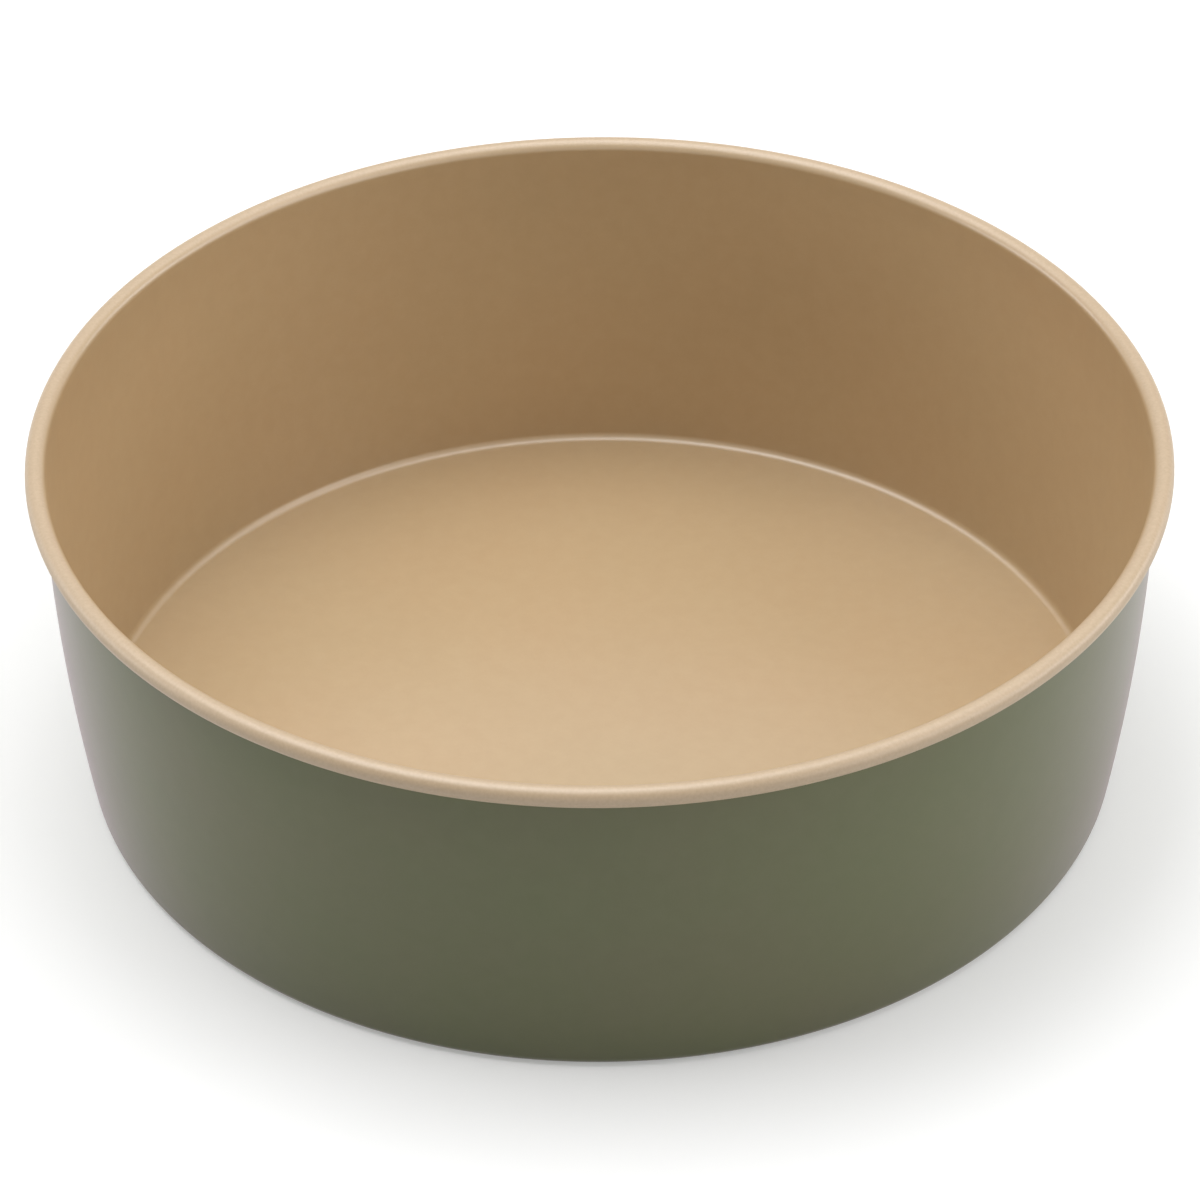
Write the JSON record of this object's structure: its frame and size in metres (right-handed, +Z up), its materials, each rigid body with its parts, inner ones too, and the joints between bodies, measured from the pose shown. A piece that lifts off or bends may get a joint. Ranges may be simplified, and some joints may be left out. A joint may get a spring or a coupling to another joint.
{
  "type": "round cake pan",
  "caption": "Deep round cake pan drawn from sheet steel, with a gently bowed side, a rolled wired rim, a beige non-stick food side and an olive outside.",
  "frame": {"origin": "centre of the pan's underside", "axes": "+Z up along the pan's axis, out of its mouth"},
  "size_m": [0.21, 0.21, 0.0681],
  "materials": {
    "steel": "cold-rolled sheet, cut edge bare",
    "wire": "drawn wire",
    "beige_coating": "satin non-stick film",
    "olive_coating": "satin film"
  },
  "bodies": {
    "root": {"steel_shell": "steel", "rim_wire": "wire", "inner_coating": "beige_coating", "outer_coating": "olive_coating"}
  },
  "joints": []
}
